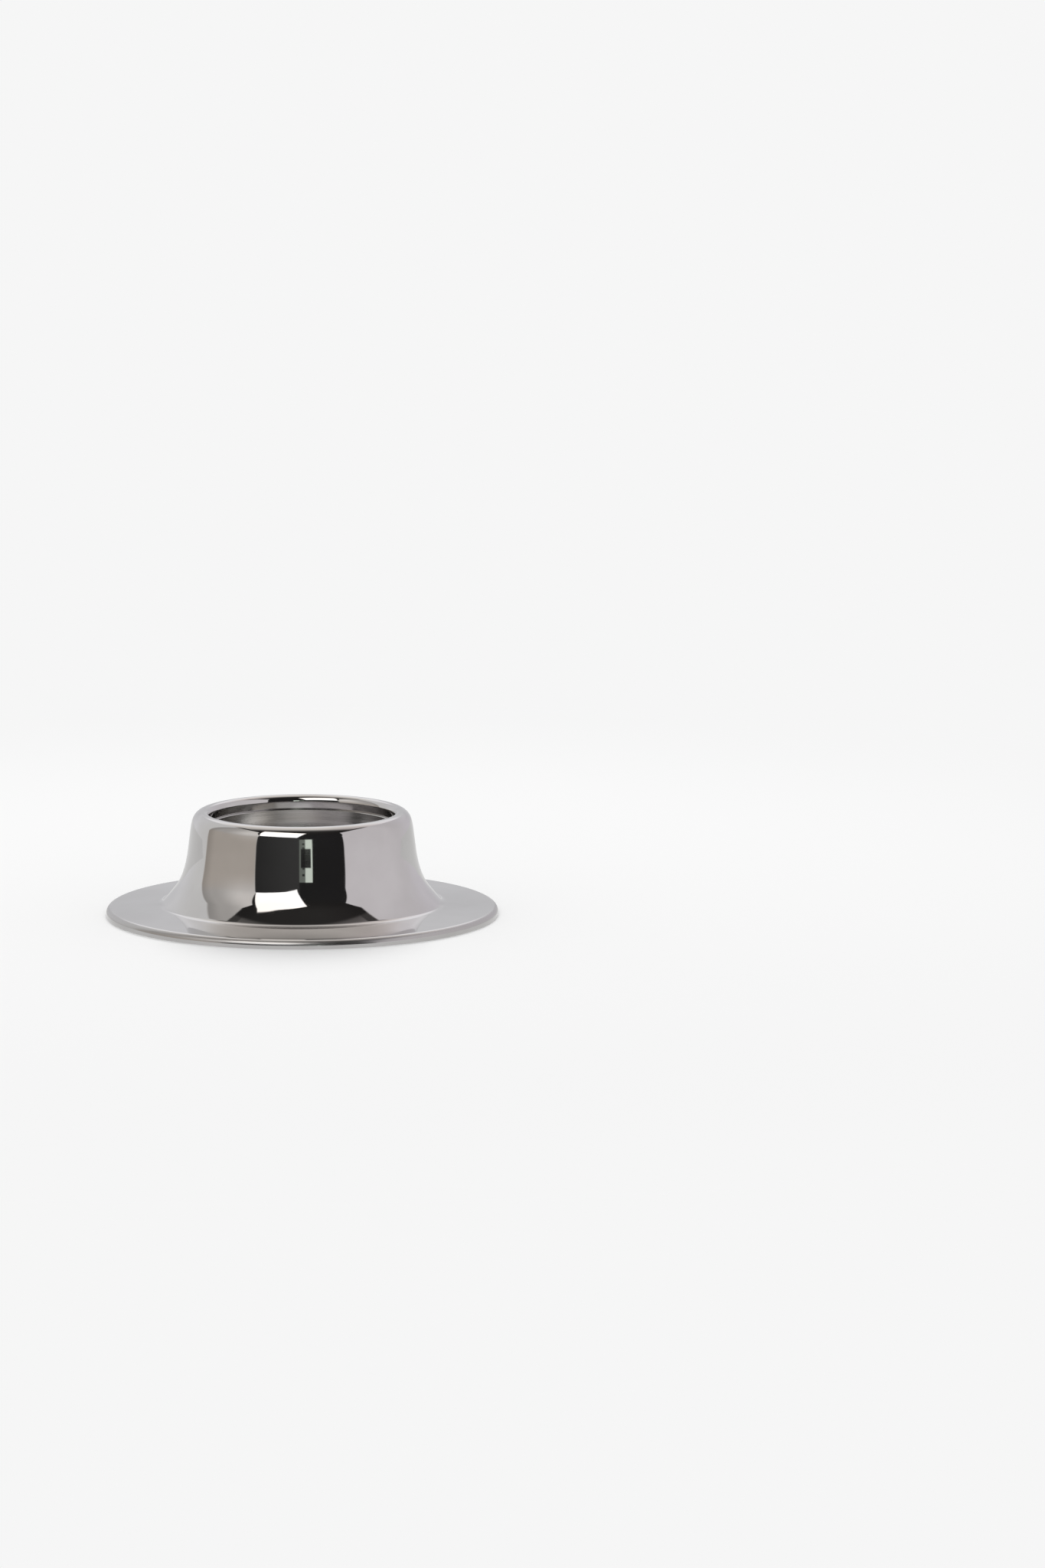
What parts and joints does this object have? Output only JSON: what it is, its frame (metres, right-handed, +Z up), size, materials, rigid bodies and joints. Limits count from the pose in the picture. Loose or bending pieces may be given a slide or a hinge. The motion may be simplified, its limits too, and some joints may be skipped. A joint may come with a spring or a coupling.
{
  "type": "egg cup",
  "caption": "Low polished steel egg cup: a wide thin saucer sweeps up into a short collar with a rolled rim, round a hung bowl that holds a boiled egg.",
  "frame": {"origin": "middle of the ring that the cup stands on, at the table", "axes": "+Z up along the cup's axis; the cup is round, so X and Y are free, and -Y faces the viewer of the picture"},
  "size_m": [0.087, 0.087, 0.0233],
  "materials": {
    "shell_steel": "mirror-polished stainless steel",
    "bowl_steel": "satin stainless steel"
  },
  "bodies": {
    "root": {"saucer_shell": "shell_steel", "egg_bowl": "bowl_steel"}
  },
  "joints": []
}
